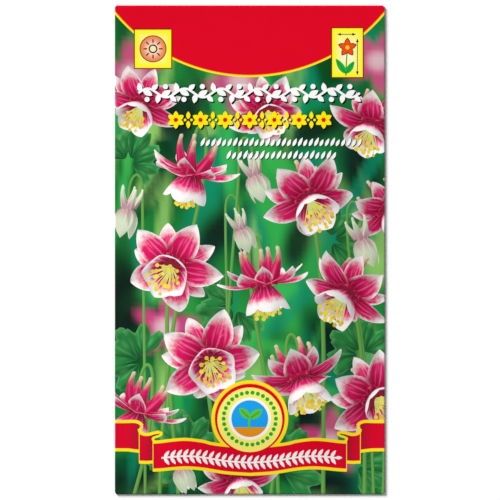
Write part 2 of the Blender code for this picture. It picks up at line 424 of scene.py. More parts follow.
# The flowers
# Single columbines, each with two rows of five spreading crimson sepals with pale tips, five
# white-edged petals that end behind in hooked spurs, and a tuft of yellow stamens. The buds are
# pale green, closed to a point.
PETALS = 5
PETAL_TURN = 2 * math.pi / PETALS
CUP_FLOOR = (0.22, 0.012, 0.03)
CUP_FLOORS = ((2.7, -0.1), (3.1, 1.2))
STAMENS = 26
FILAMENT = (0.62, 0.66, 0.22)
FILAMENT_FOOT = 1.5
FILAMENT_HALF_WIDTH = 0.13
SHORTEST_FILAMENT = 0.5
ANTHER = (0.90, 0.70, 0.07)
ANTHER_SHADE = (0.35, 0.20, 0.01)
GOLDEN_ANGLE = math.pi * (3 - math.sqrt(5))
TIP_CROWDING = 1.8
SPINE_STEPS = 24


def tapered(foot, tip):
    """A blade's half width along its length, at most 1: larger powers give narrower ends."""
    widest = foot / (foot + tip)
    most = widest ** foot * (1 - widest) ** tip
    return lambda share: max(share ** foot * (1 - share) ** tip / most, 0.02)


def rounded(share):
    """The half width of a petal with a narrow foot and a blunt round end."""
    foot = 0.42 + 0.58 * swell(share, 0.6)
    end = max(0.0, (share - 0.58) / 0.42)
    return max(foot * math.sqrt(max(0.0, 1 - end ** 2.1)), 0.02)


def spine_point(spine, share):
    """The point that lies share of the way along a spine."""
    step = min(int(share * SPINE_STEPS), SPINE_STEPS - 1)
    return spine[step].lerp(spine[step + 1], share * SPINE_STEPS - step)


def blade(length, width, outline, lift, cup, ripple=0.0, columns=4, rows=10, shade=0.55):
    """A petal or sepal: a grid drawn in to its outline and bent up along its length."""
    shape, across, along, light = grid_shape(columns, rows)
    spine = [Vector((0, 0))]
    for step in range(SPINE_STEPS):
        angle = blend(lift[0], lift[1], (step + 0.5) / SPINE_STEPS)
        spine.append(spine[-1] + Vector((math.cos(angle), math.sin(angle))) * length / SPINE_STEPS)
    for vertex in shape.verts:
        side, share = vertex[across], 1 - (1 - vertex[along]) ** TIP_CROWDING
        vertex[along] = share
        half = width / 2 * outline(share)
        angle = blend(lift[0], lift[1], share)
        middle = spine_point(spine, share)
        rise = cup * half * side * side + ripple * math.sin(5 * share + 2 * side) * share
        vertex.co = (side * half, middle.x - math.sin(angle) * rise,
                     middle.y + math.cos(angle) * rise)
        vertex[light] = blend(shade, 1.0, swell(share, 0.5))
    return shape


def spur(size=1.0, mouth=1.0, rows=9):
    """A hollow spur, back from the petal's foot: wide at its mouth, slender, knobbed, hooked."""
    def middle_at(share):
        return Vector((0, 2.4 + 3.4 * math.sin(2.0 * share), -12.0 * share + 1.6 * share ** 6)) * size

    def girth_at(share):
        knob = 0.34 * math.exp(-((share - 0.93) / 0.06) ** 2)
        neck = 1.75 * (1 - share) ** 1.3 + 0.30 + knob
        return (neck * math.sqrt(max(0.0, 1 - share ** 24)) + 0.01) * mouth

    shape, across, along, _ = grid_shape(8, rows)
    for vertex in shape.verts:
        share = vertex[along]
        turn = math.pi * vertex[across]
        ahead = (middle_at(min(share + 0.02, 1)) - middle_at(max(share - 0.02, 0))).normalized()
        side = ahead.cross(Vector((0.3, 1, 0.2))).normalized()
        other = ahead.cross(side)
        vertex.co = middle_at(share) + (side * math.cos(turn) + other * math.sin(turn)) * girth_at(share)
    return shape


def pose_at(x, y, size, tilt, heading, spin):
    """Stand a bloom, which faces up, at a place: spun, tipped by tilt, turned to its heading."""
    return (Matrix.Translation((x, y, 0)) @ Matrix.Rotation(heading, 4, "Z")
            @ Matrix.Rotation(tilt, 4, "X") @ Matrix.Rotation(spin, 4, "Z")
            @ Matrix.Scale(size, 4))


def stamens(pose, size, layer, draw):
    """Lay the tuft of threads, each with an anther at its end."""
    for number in range(STAMENS):
        angle = number * GOLDEN_ANGLE
        lean = 0.06 + 0.42 * math.sqrt(number / STAMENS)
        reach = draw.uniform(8.2, 10.6)
        ahead = Vector((math.sin(lean) * math.cos(angle), math.sin(lean) * math.sin(angle),
                        math.cos(lean)))
        tip = pose @ (ahead * reach)
        foot = pose @ (ahead * FILAMENT_FOOT)
        run = Vector((tip.x - foot.x, tip.y - foot.y))
        if run.length > SHORTEST_FILAMENT:
            side = Vector((-run.y, run.x, 0)).normalized() * FILAMENT_HALF_WIDTH * size
            thread = bmesh.new()
            corners = (foot - side, tip - side, tip + side, foot + side)
            thread.faces.new([thread.verts.new(corner) for corner in corners])
            art.lay(thread, colour=FILAMENT, height=layer + 0.05)
        anther = outline_shape(disc_outline(tip.x, tip.y, draw.uniform(0.50, 0.66) * size, 7, angle))
        bright = draw.uniform(0.55, 1.0)
        colour = tuple(blend(dark, full, bright) for dark, full in zip(ANTHER_SHADE, ANTHER))
        art.lay(anther, colour=colour, height=layer + tip.z + 0.1, graded=False)


def columbine(x, y, size, tilt, heading, layer, spin, seed, opening=0.12):
    """Lay one bloom."""
    draw = random.Random(seed)
    pose = pose_at(x, y, size, tilt, heading, spin)
    for number in range(PETALS):
        turn = Matrix.Rotation(number * PETAL_TURN + draw.uniform(-0.06, 0.06), 4, "Z")
        lift = opening + draw.uniform(-0.10, 0.10)
        sepal = blade(13.2 * draw.uniform(0.94, 1.04), 8.4, tapered(0.62, 0.85),
                      (lift, lift - 0.55 + draw.uniform(-0.15, 0.15)), 0.22, 0.25)
        art.lay(sepal, "sepal", place=pose @ turn @ Matrix.Translation((0, 1.2, -0.4)),
                height=layer)
        turn = Matrix.Rotation((number + 0.5) * PETAL_TURN + draw.uniform(-0.1, 0.1), 4, "Z")
        behind = blade(11.6 * draw.uniform(0.92, 1.04), 5.6, tapered(0.7, 0.8),
                       (lift - 0.12, lift - 0.75), 0.25, 0.2)
        art.lay(behind, "sepal", place=pose @ turn @ Matrix.Translation((0, 1.2, -1.0)),
                height=layer)
        turn = Matrix.Rotation((number + 0.5) * PETAL_TURN, 4, "Z")
        petal = blade(9.8 * draw.uniform(0.95, 1.03), 7.7, rounded,
                      (0.62 + opening, 1.22 + 0.5 * opening), 0.42, 0.0, 6, 12, 0.40)
        art.lay(petal, "petal", place=pose @ turn @ Matrix.Translation((0, 1.6, 0.1)),
                height=layer)
        art.lay(spur(), "spur", place=pose @ turn, height=layer, outside_only=True)
    for radius, rise in CUP_FLOORS:
        art.lay(outline_shape(disc_outline(0, 0, radius, 14)), colour=CUP_FLOOR, height=layer,
                place=pose @ Matrix.Translation((0, 0, rise)))
    stamens(pose, size, layer, draw)


def bud(x, y, size, tilt, heading, layer, seed):
    """Lay one bud: five sepals closed to a point, short spurs behind."""
    pose = pose_at(x, y, size, tilt, heading, random.Random(seed).uniform(0, 1))
    for number in range(PETALS):
        turn = Matrix.Rotation(number * PETAL_TURN, 4, "Z")
        sepal = blade(11.5, 6.4, tapered(0.55, 0.9), (0.75, 2.05), 0.30, 0.1, shade=0.8)
        art.lay(sepal, "bud", place=pose @ turn @ Matrix.Translation((0, 1.0, 0)), height=layer)
        turn = Matrix.Rotation((number + 0.5) * PETAL_TURN, 4, "Z")
        art.lay(spur(0.62, 0.7, 8), "bud", place=pose @ turn, height=layer, outside_only=True)


columbine(-32, 43, 0.92, 0.8, -0.5, 20, 0.8, 10)
columbine(5, 41, 0.86, 0.5, 0.4, 10, 0.4, 11)
columbine(36, 37, 0.95, 0.9, -0.3, 20, 0.2, 12)
columbine(17.5, 15, 1.08, 0.75, 0.5, 60, 0.3, 1)
columbine(-17, 23, 1.02, 1.75, -0.25, 40, 0.9, 2)
columbine(-23, -5, 1.08, 0.45, -0.6, 90, 0.1, 3)
columbine(4, -10, 1.02, 1.6, 0.15, 120, 0.5, 4)
columbine(29, -13, 1.06, 0.95, -0.7, 100, 1.0, 5)
columbine(-12, -33, 1.12, 0.35, 0.4, 150, 0.6, 6)
columbine(15, -38, 1.05, 1.2, 0.35, 140, 0.0, 7)
columbine(-33, -48, 1.02, 1.5, -0.4, 110, 0.7, 8)
columbine(37, -44, 1.05, 0.6, 0.9, 120, 0.2, 9)
columbine(41, 12, 0.9, 0.9, 0.7, 15, 0.5, 13)
columbine(-3, -68, 0.95, 0.9, 0.2, 30, 0.6, 14)
bud(1, 23, 0.88, 1.9, 0.35, 30, 1)
bud(33, 4, 0.9, 1.8, 0.3, 60, 2)
bud(-36, 13, 0.9, 1.7, -0.2, 50, 3)
bud(-3, 7, 0.78, 2.0, 0.4, 50, 4)
bud(-21, -64, 0.8, 1.8, 0.4, 20, 5)

# The header
# A plain red field fills the top of the front and hangs down in a shallow arc, with a yellow
# line along its edge. It runs on over the folds to the flap at the top, as a bleed does.
RED = (0.735, 0.0, 0.016)
YELLOW = (1.0, 0.76, 0.012)
ORANGE = (0.90, 0.22, 0.004)
ARC_FOOT = 51.9
ARC_RADIUS = 51.6
ARC_STEPS = 56
BLEED = 46.0
HEADER_TOP = 95
HEADER_LAYER = 400


def arc_point(x, drop):
    """A point on the header's edge, or on a line that drop below it."""
    middle = ARC_FOOT + ARC_RADIUS
    return (x, middle - math.sqrt((ARC_RADIUS + drop) ** 2 - x * x))


for height, (drop, colour) in enumerate(((0.72, YELLOW), (0.16, ORANGE), (0.0, RED))):
    edge = [arc_point(x, drop) for x in spread(-BLEED, BLEED, ARC_STEPS)]
    header = outline_shape([(-BLEED, HEADER_TOP), *edge, (BLEED, HEADER_TOP)])
    art.lay(header, colour=colour, height=HEADER_LAYER + height, graded=False)

# Rows of ornament
# Below the header stand four rows of plain leaf ornament: a white vine and a yellow row of
# rosettes, both with dark shadows, and two small rows of slanted leaves.
ORNAMENT_LAYER = 500
SHADOW = (0.42, -0.42)
SMALL_SHADOW = (0.22, -0.22)
GOLD = (1.0, 0.80, 0.0)
LEAF_STEPS = 10
VINE_LEFT, VINE_RIGHT, VINE_MIDDLE = -33.0, 32.6, 46.5
VINE_WAVE = 1.3
VINE_PITCH = 10.933
VINE_BENDS = 12
VINE_GIRTH = 0.68
ROSETTE_Y = 38.5
ROSETTES = spread(-21.9, 21.9, 6)
SPRIGS = spread(-18.25, 18.25, 5)
SLANTED_ROWS = ((32.0, -14.5, 34.0), (28.2, -6.8, 26.5))
SLANTED_LENGTHS = (2.9, 2.3, 2.6)
SLANTED_PITCH = 1.62


def leaf_outline(x, y, length, width, angle):
    """The outline of a pointed leaf with its foot at the place."""
    shares = spread(0, 1, LEAF_STEPS)[1:-1]
    halves = [width / 2 * math.sin(math.pi * share ** 0.85) ** 0.8 for share in shares]
    right = [(share * length, -half) for share, half in zip(shares, halves)]
    left = [(share * length, half) for share, half in zip(shares, halves)]
    points = [(0, 0), *right, (length, 0), *reversed(left)]
    turn = Matrix.Rotation(angle, 2)
    return [(Vector((x, y)) + turn @ Vector(point))[:] for point in points]


def line_outline(points, width):
    """The outline of a line of even width through points."""
    points = [Vector(point) for point in points]
    right, left = [], []
    for number, point in enumerate(points):
        before = points[max(number - 1, 0)]
        after = points[min(number + 1, len(points) - 1)]
        ahead = (after - before).normalized()
        side = Vector((ahead.y, -ahead.x)) * width / 2
        right.append((point + side)[:])
        left.append((point - side)[:])
    return right + left[::-1]


def stamp(outlines, colour, height, shadow=None):
    """Print flat shapes in one colour, with a dark copy beside and below them if wanted."""
    for outline in outlines:
        if shadow:
            moved = [(x + shadow[0], y + shadow[1]) for x, y in outline]
            art.lay(outline_shape(moved), colour=BLACK, height=height - 1, graded=False)
        art.lay(outline_shape(outline), colour=colour, height=height, graded=False)


def vine(x):
    """The vine's height along the row."""
    return VINE_MIDDLE + VINE_WAVE * math.sin(2 * math.pi * (x - VINE_LEFT) / VINE_PITCH)


outlines = []
for start in spread(VINE_LEFT, VINE_RIGHT, VINE_BENDS)[:-1]:
    run = spread(start, start + VINE_PITCH / 2, 8)
    outlines.append(line_outline([(x, vine(x)) for x in run], VINE_GIRTH))
for bend in range(VINE_BENDS):
    up = -1 if bend % 2 else 1
    x = VINE_LEFT + VINE_PITCH * (bend + 0.5) / 2
    for place, length, width, angle in (
            (x - VINE_PITCH / 8, 3.2, 1.75, -up * 0.55), (x - VINE_PITCH / 5, 2.7, 1.6, up * 1.75),
            (x + VINE_PITCH / 9, 2.4, 1.45, up * 0.7)):
        outlines.append(leaf_outline(place, vine(place), length, width, angle))
    outlines.append(disc_outline(x - 0.2, VINE_MIDDLE - up * 1.9, 0.78, 12))
stamp(outlines, WHITE, ORNAMENT_LAYER, SHADOW)

outlines = []
for x in ROSETTES:
    for petal in range(6):
        angle = math.pi / 6 + petal * math.pi / 3
        outlines.append(leaf_outline(x + 0.5 * math.cos(angle), ROSETTE_Y + 0.5 * math.sin(angle),
                                     2.15, 1.5, angle))
for x in SPRIGS:
    for turn in (math.pi / 2, -math.pi / 2):
        outlines.append(leaf_outline(x, ROSETTE_Y + 0.25 * math.sin(turn), 2.3, 1.25, turn))
    outlines.append(disc_outline(x - 0.95, ROSETTE_Y, 0.42, 10))
    outlines.append(disc_outline(x + 0.95, ROSETTE_Y, 0.42, 10))
stamp(outlines, GOLD, ORNAMENT_LAYER, SHADOW)
stamp([disc_outline(x, ROSETTE_Y, 0.62, 12) for x in ROSETTES], RED, ORNAMENT_LAYER + 1)

for middle, left, right in SLANTED_ROWS:
    places = spread(left, right - 2.0, round((right - left - 2.0) / SLANTED_PITCH))
    stamp([leaf_outline(x, middle - 1.3, SLANTED_LENGTHS[number % 3], 0.95, 1.12)
           for number, x in enumerate(places)], WHITE, ORNAMENT_LAYER, SMALL_SHADOW)

# Pictograms
# Two little panels stand on the header's edge: a square one with a sun on a disc, and a tall one
# with a flower and the two arrows that show its width and height. Both glow from pale middles.
PANEL_LAYER = 600
PANEL_EDGE = 0.28
PANEL_YELLOW = (0.98, 0.90, 0.0)
PANEL_PALE = (1.0, 0.97, 0.62)
OUTLINE_RED = (0.11, 0.004, 0.008)
SUN_X, SUN_Y = -28.7, 59.6
SUN_DISC = (0.85, 0.22, 0.07)
SUN_DISC_PALE = (1.0, 0.90, 0.72)
SUN_MIDDLE = (1.0, 0.80, 0.42)
BLOOM_X, BLOOM_Y = 28.95, 60.0
BLOOM_ORANGE = (0.86, 0.075, 0.006)
BLOOM_MIDDLE = (1.0, 0.62, 0.02)
LEAF_FOOT = (28.5, 52.2)
LEAF_GREEN = (0.01, 0.42, 0.05)
LEAF_VEIN = (0.005, 0.15, 0.02)
TWIG_GREEN = (0.02, 0.16, 0.02)
ARROWS = (((31.9, 51.9), (31.9, 62.6)), ((26.0, 63.9), (31.4, 63.9)))
ARROW_HALF_WIDTH = 0.42


def rectangle(left, low, right, high):
    """The outline of a rectangle."""
    return [(left, low), (right, low), (right, high), (left, high)]


def panel(left, low, right, high):
    """Lay a yellow panel that pales to its middle, in a thin dark outline."""
    stamp([rectangle(left - PANEL_EDGE, low - PANEL_EDGE, right + PANEL_EDGE, high + PANEL_EDGE)],
          OUTLINE_RED, PANEL_LAYER)
    shape, _, along, light = grid_shape(12, 12)
    for vertex in shape.verts:
        reach = max(abs(vertex.co.x), abs(vertex.co.y))
        vertex[light] = 1 - swell(1 - reach, 0.95)
        vertex.co = (blend(left, right, (vertex.co.x + 1) / 2), blend(low, high, vertex[along]), 0)
    art.lay(shape, colour=PANEL_YELLOW, fade=PANEL_PALE, height=PANEL_LAYER + 1)


def rays(x, y, count, inner, outer, width):
    """The outlines of a sun's rays round a place."""
    outlines = []
    for ray in range(count):
        angle = ray * 2 * math.pi / count
        outlines.append(line_outline([(x + reach * math.cos(angle), y + reach * math.sin(angle))
                                      for reach in (inner, outer)], width))
    return outlines


panel(-34.1, 53.9, -23.3, 65.3)
stamp([disc_outline(SUN_X, SUN_Y, 4.0, 36)], OUTLINE_RED, PANEL_LAYER + 2)
shape, across, along, light = grid_shape(36, 5)
for vertex in shape.verts:
    radius = 3.75 * vertex[along]
    vertex[light] = swell(vertex[along], 1.0)
    angle = math.pi * vertex[across]
    vertex.co = (SUN_X + radius * math.sin(angle), SUN_Y + radius * math.cos(angle), 0)
art.lay(shape, colour=SUN_DISC, fade=SUN_DISC_PALE, height=PANEL_LAYER + 3)
stamp([*rays(SUN_X, SUN_Y, 8, 1.75, 2.85, 0.36), disc_outline(SUN_X, SUN_Y, 1.32, 20)], BLACK,
      PANEL_LAYER + 4)
stamp([disc_outline(SUN_X, SUN_Y, 0.92, 20)], SUN_MIDDLE, PANEL_LAYER + 5)

panel(24.4, 51.2, 33.5, 65.7)
stamp([line_outline([(28.5, 51.6), (28.6, 55.0), (BLOOM_X, BLOOM_Y)], 0.3)], TWIG_GREEN,
      PANEL_LAYER + 2)
stamp([leaf_outline(*LEAF_FOOT, 5.4, 1.9, 2.16), leaf_outline(*LEAF_FOOT, 4.5, 1.8, 0.98)],
      LEAF_GREEN, PANEL_LAYER + 3)
stamp([line_outline([LEAF_FOOT, tip], 0.16) for tip in ((25.9, 56.1), (30.6, 55.4))], LEAF_VEIN,
      PANEL_LAYER + 4)
for height, length, width, colour in ((5, 2.9, 1.85, OUTLINE_RED), (6, 2.6, 1.5, BLOOM_ORANGE)):
    stamp([leaf_outline(BLOOM_X, BLOOM_Y, length, width, math.pi / 2 + petal * 2 * math.pi / 5)
           for petal in range(5)], colour, PANEL_LAYER + height)
stamp([disc_outline(BLOOM_X, BLOOM_Y, 0.62, 12)], BLOOM_MIDDLE, PANEL_LAYER + 7)
for foot, tip in ARROWS:
    ahead = (Vector(tip) - Vector(foot)).normalized()
    side = Vector((ahead.y, -ahead.x)) * ARROW_HALF_WIDTH
    stamp([line_outline([foot, tip], 0.2)], BLACK, PANEL_LAYER + 2)
    for end, inward in ((Vector(foot), ahead), (Vector(tip), -ahead)):
        base = end + inward
        stamp([[end[:], (base + side)[:], (base - side)[:]]], BLACK, PANEL_LAYER + 3)

# Ribbon
# A red ribbon with yellow borders crosses the foot of the front in two folds a side, humped
# beside the emblem. It carries a white garland, and darkens where it turns under.
RIBBON_LAYER = 700
RIBBON_RED = (0.76, 0.0, 0.022)
RIBBON_SHADE = (0.36, 0.006, 0.03)
RIBBON_HOLLOW = (0.10, 0.0, 0.01)
BORDER = 0.93
FOLD_LINE = 0.22
MAIN_END, FOLD_END, TAIL_END = -28.7, -32.8, -46.0
GARLAND_RISE = 3.5
GARLAND_STALK = 5.24


def smooth(points, steps=5):
    """A smooth line through points."""
    points = [Vector(point) for point in points]
    ends = [2 * points[0] - points[1], *points, 2 * points[-1] - points[-2]]
    line = []
    for a, b, c, d in zip(ends, ends[1:], ends[2:], ends[3:]):
        for share in spread(0, 1, steps)[:-1]:
            line.append(((b * 2 + (c - a) * share + (a * 2 - b * 5 + c * 4 - d) * share ** 2
                          + (b * 3 - c * 3 + d - a) * share ** 3) / 2)[:])
    return [*line, points[-1][:]]


def height_on(line, x):
    """Where a line that runs from left to right stands at x."""
    return float(np.interp(x, [point[0] for point in line], [point[1] for point in line]))


def flipped(line, side):
    """The line on the left half, side -1, or its mirror image on the right half, side 1."""
    return line if side < 0 else [(-x, y) for x, y in reversed(line)]


def stretch(upper, lower, shade, side, height):
    """Lay ribbon between two lines on one half, darkened by shade(x), with a border on each."""
    upper, lower = flipped(upper, side), flipped(lower, side)
    left, right = max(upper[0][0], lower[0][0]), min(upper[-1][0], lower[-1][0])
    shape, _, along, light = grid_shape(24, 1)
    for vertex in shape.verts:
        x = blend(left, right, (vertex.co.x + 1) / 2)
        vertex[light] = 1 - shade(-side * x)
        vertex.co = (x, height_on(upper if vertex[along] > 0.5 else lower, x), 0)
    art.lay(shape, colour=RIBBON_RED, fade=RIBBON_SHADE, height=height)
    stamp([line_outline(upper, BORDER), line_outline(lower, BORDER)], YELLOW, height + 2)


main_top = smooth([(MAIN_END, -57.0), (-26.5, -56.85), (-22.0, -56.3), (-18.5, -56.15),
                   (-14.0, -56.7), (-10.0, -57.6), (0.0, -58.6)])
main_foot = smooth([(MAIN_END, -65.35), (-26.0, -65.2), (-22.0, -64.8), (-18.5, -64.65),
                    (-14.0, -65.0), (-7.0, -66.1), (0.0, -66.6)])
fold_top = smooth([(FOLD_END, -53.1), (-32.3, -54.3), (-30.5, -54.75), (-28.2, -54.25),
                   (-26.7, -54.0)])
fold_foot = [(FOLD_END, -62.95), (-30.6, -63.05), (MAIN_END, -62.9)]
curl = smooth([(-26.7, -54.0), (-26.15, -54.45), (-26.8, -55.1), (-28.3, -55.6),
               (-28.75, -56.1), (-28.3, -56.8)])
curl_hollow = [(-28.7, -54.6), (-26.7, -54.2), (-26.8, -55.1), (-28.7, -56.0)]
tail_top = smooth([(TAIL_END, -50.95), (-38.0, -50.95), (-34.2, -50.9), (-32.6, -51.4),
                   (-31.9, -52.2)])
tail_foot = [(TAIL_END, -59.25), (-36.0, -59.35), (FOLD_END + 0.1, -59.75)]
tail_curl = smooth([(-31.9, -52.2), (-32.1, -52.8), (-32.8, -53.3)])
stretches = (
    (tail_top, tail_foot, lambda x: 0.18 + 0.60 * swell(x + 37.0, 4.4), 0),
    (fold_top, fold_foot, lambda x: 0.25 + 0.55 * swell(x + 32.0, 3.2), 10),
    (main_top, main_foot, lambda x: 0.45 * swell(-26.6 - x, 2.2) + 0.16 * swell(x + 14, 6), 20),
)
edge_lines = (
    (tail_curl, 0.6, 3), (curl, 0.7, 13),
    ([(FOLD_END, -53.3), (FOLD_END, -63.3)], FOLD_LINE, 14),
    ([(MAIN_END, -56.6), (MAIN_END, -65.7)], FOLD_LINE, 24),
)
for side in (-1, 1):
    stamp([flipped(curl_hollow, side)], RIBBON_HOLLOW, RIBBON_LAYER + 11)
    for upper, lower, shade, height in stretches:
        stretch(upper, lower, shade, side, RIBBON_LAYER + height)
    for line, width, height in edge_lines:
        stamp([line_outline(flipped(line, side), width)], YELLOW, RIBBON_LAYER + height)

ribbon_foot = main_foot + flipped(main_foot[:-1], 1)


def garland(x):
    """The garland's middle line, an even way above the ribbon's foot."""
    return height_on(ribbon_foot, x) + GARLAND_RISE


outlines = [line_outline([(x, garland(x)) for x in spread(left, left + GARLAND_STALK, 5)], 0.5)
            for left in spread(-26.2, 20.96, 9)]
for x in spread(-25.4, 24.0, 26):
    outlines += [leaf_outline(x, garland(x), 2.6, 1.0, up * 0.95) for up in (-1, 1)]
outlines.append(leaf_outline(25.4, garland(25.4), 2.0, 1.0, 0.0))
stamp(outlines, WHITE, RIBBON_LAYER + 30)

# Emblem
# A plain round emblem stands over the ribbon's middle: yellow and red rings, a ring of green
# beads, and a seedling in front of a blue sky inside a white rim.
EMBLEM_Y = -50.0
EMBLEM_LAYER = 740
SKY_RADIUS = 5.45
SKY_BLUE = (0.01, 0.36, 0.84)
PALE_YELLOW = (0.98, 0.86, 0.16)
SOIL = (0.80, 0.28, 0.01)
SEEDLING_GREEN = (0.10, 0.55, 0.04)
SEEDLING_VEIN = (0.01, 0.22, 0.02)
BEAD_RING = 7.75
BEADS = 30


def emblem_point(x, y):
    """A place given from the emblem's middle."""
    return (x, EMBLEM_Y + y)


stamp([disc_outline(0, EMBLEM_Y, 11.4, 72)], YELLOW, RIBBON_LAYER + 18)
stamp([disc_outline(0, EMBLEM_Y, 10.35, 72)], RED, EMBLEM_LAYER)
stamp([disc_outline(0, EMBLEM_Y - 0.35, 9.6, 72)], PALE_YELLOW, EMBLEM_LAYER + 1)
stamp([disc_outline(*place, 0.62, 12) for place in disc_outline(0, EMBLEM_Y, BEAD_RING, BEADS)],
      LEAF_GREEN, EMBLEM_LAYER + 2)
stamp([disc_outline(0, EMBLEM_Y, 6.3, 60)], WHITE, EMBLEM_LAYER + 3)
stamp([disc_outline(0, EMBLEM_Y, SKY_RADIUS, 60)], SKY_BLUE, EMBLEM_LAYER + 4)
stamp([[emblem_point(SKY_RADIUS * math.cos(angle), SKY_RADIUS * math.sin(angle))
        for angle in spread(math.radians(-152), math.radians(-28), 16)]], SOIL, EMBLEM_LAYER + 5)
shoot = [emblem_point(0.0, -3.2), emblem_point(-0.25, -1.4), emblem_point(0.0, 0.3)]
stamp([line_outline(smooth(shoot), 0.62), leaf_outline(*emblem_point(0.0, 0.1), 4.6, 2.5, 0.62),
       leaf_outline(*emblem_point(0.0, 0.1), 4.4, 2.4, math.pi - 0.78)],
      SEEDLING_GREEN, EMBLEM_LAYER + 6)
stamp([line_outline([emblem_point(0.3, 0.3), emblem_point(2.9, 2.15)], 0.2),
       line_outline([emblem_point(-0.3, 0.35), emblem_point(-2.5, 2.55)], 0.2)],
      SEEDLING_VEIN, EMBLEM_LAYER + 7)

# The back
# The back is printed plainly on a cream field: a red heading with a leaf row, a sowing calendar
# of twelve boxes, empty ruled lines, an empty label box and three small pictures. The flaps that
# close over it carry on the colours of the front. The glue flap inside is bare beyond its bleed.
BACK_LAYER = 800
CREAM = (0.90, 0.87, 0.74)
LABEL_WHITE = (0.93, 0.92, 0.86)
PICTURE_CREAM = (0.95, 0.93, 0.70)
PRINT_GREEN = (0.012, 0.26, 0.05)
PALE_GREEN = (0.42, 0.66, 0.30)
LINE_GREY = (0.28, 0.30, 0.26)
SUN_ORANGE = (0.90, 0.42, 0.01)
PAST_SHEET = 95
PAST_BACK = 80
GLUE_BLEED = 2.5
HEADING_FOOT = 41.0
BOX = 4.9
BOX_PITCH = 5.4
BOX_LINE = 0.2
CALENDAR_ROWS = ((30.0, (2, 3, 8, 9), PRINT_GREEN), (24.0, (4, 5, 6), RED))
RULED_LINES = 8
PICTURE_HALF = 5.0
back_left, back_right = BACK_FOLD_END + 0.4, BACK_END + 2.0
back_middle = (BACK_FOLD_END + BACK_END) / 2
margin_left = back_middle - 32.4
stamp([rectangle(back_left, -PAST_BACK, back_right, PAST_BACK)], CREAM, BACK_LAYER)
stamp([rectangle(back_left, HEADING_FOOT, back_right, PAST_BACK)], RED, BACK_LAYER + 1)
stamp([rectangle(back_left, HEADING_FOOT - 0.9, back_right, HEADING_FOOT)], YELLOW, BACK_LAYER + 2)
stamp([rectangle(back_left, -PAST_BACK, back_right, -55.0)], PRINT_GREEN, BACK_LAYER + 1)
stamp([rectangle(-60, -PAST_SHEET, SIDE_FOLD_END - GLUE_BLEED, PAST_SHEET)], WHITE, BACK_LAYER)
stamp([leaf_outline(x, 48.5, 3.6, 1.5, angle) for x in spread(back_middle - 30, back_middle + 27, 19)
       for angle in (0.9, -0.9)], WHITE, BACK_LAYER + 2)
for month in range(12):
    left = margin_left + month * BOX_PITCH
    for low, sowing_months, colour in CALENDAR_ROWS:
        stamp([rectangle(left, low, left + BOX, low + BOX)], LINE_GREY, BACK_LAYER + 2)
        stamp([rectangle(left + BOX_LINE, low + BOX_LINE, left + BOX - BOX_LINE, low + BOX - BOX_LINE)],
              colour if month in sowing_months else CREAM, BACK_LAYER + 3)
stamp([rectangle(margin_left, low, back_middle + 32.3, low + 0.22)
       for low in spread(17.5, -11.9, RULED_LINES - 1)], LINE_GREY, BACK_LAYER + 2)
stamp([rectangle(margin_left, -50.0, back_middle + 2.0, -18.0)], PRINT_GREEN, BACK_LAYER + 2)
stamp([rectangle(margin_left + 0.5, -49.5, back_middle + 1.5, -18.5)], LABEL_WHITE, BACK_LAYER + 3)
x = back_middle + 18.5
sun_y, drop_y, plant_y = -22.8, -34.0, -45.2
frames = ((PICTURE_HALF, PALE_GREEN, 2), (PICTURE_HALF - 0.4, PICTURE_CREAM, 3))
for y in (sun_y, drop_y, plant_y):
    for half, colour, height in frames:
        stamp([rectangle(x - half, y - half, x + half, y + half)], colour, BACK_LAYER + height)
stamp([*rays(x, sun_y, 10, 2.3, 3.7, 0.5), disc_outline(x, sun_y, 1.8, 24)], SUN_ORANGE,
      BACK_LAYER + 4)
drop = [(x + 2.2 * math.cos(angle), drop_y - 1.0 + 2.2 * math.sin(angle))
        for angle in spread(math.radians(-200), math.radians(20), 20)]
stamp([[*drop, (x, drop_y + 3.6)]], SKY_BLUE, BACK_LAYER + 4)
stamp([line_outline([(x, plant_y - 3.4), (x, plant_y + 0.4)], 0.5),
       *(leaf_outline(x, plant_y - 0.2, 4.0, 2.0, angle) for angle in (0.75, 2.4))],
      PRINT_GREEN, BACK_LAYER + 4)

# Printing
# The artwork is resolved into one sheet: where shapes overlap, only the topmost stays. The sheet
# then gets its inner side and cut edges, and is folded to the envelope.
INKS = ("flat", "sepal", "petal", "spur", "bud", "leaf", "bare")
EPSILON = 1e-5
STRAIGHT = 1e-4
WIDE = 2.2
SAMPLE_INSET = 0.12
CREASE_ANGLE = math.radians(60)

sheet_numbers = {vertex: number for number, vertex in enumerate(plain_sheet.verts)}
sheet_points = [Vector(vertex.co.xy) for vertex in plain_sheet.verts]
sheet_faces = [[sheet_numbers[vertex] for vertex in face.verts] for face in plain_sheet.faces]
art_points = np.array(art.points)
art_values = np.array(art.values)
is_stamped = np.array([len(face) > 3 for face in art.faces])

# How each face's height and values change over the sheet: not at all on a stamped one
slopes = np.zeros((len(art.faces), 3, 4))
for number, face in enumerate(art.faces):
    outline, own = art_points[face], art_values[face]
    if not is_stamped[number]:
        slopes[number, :2] = np.linalg.solve(outline[1:] - outline[0], own[1:] - own[0])
    slopes[number, 2] = own[0] - outline[0] @ slopes[number, :2]


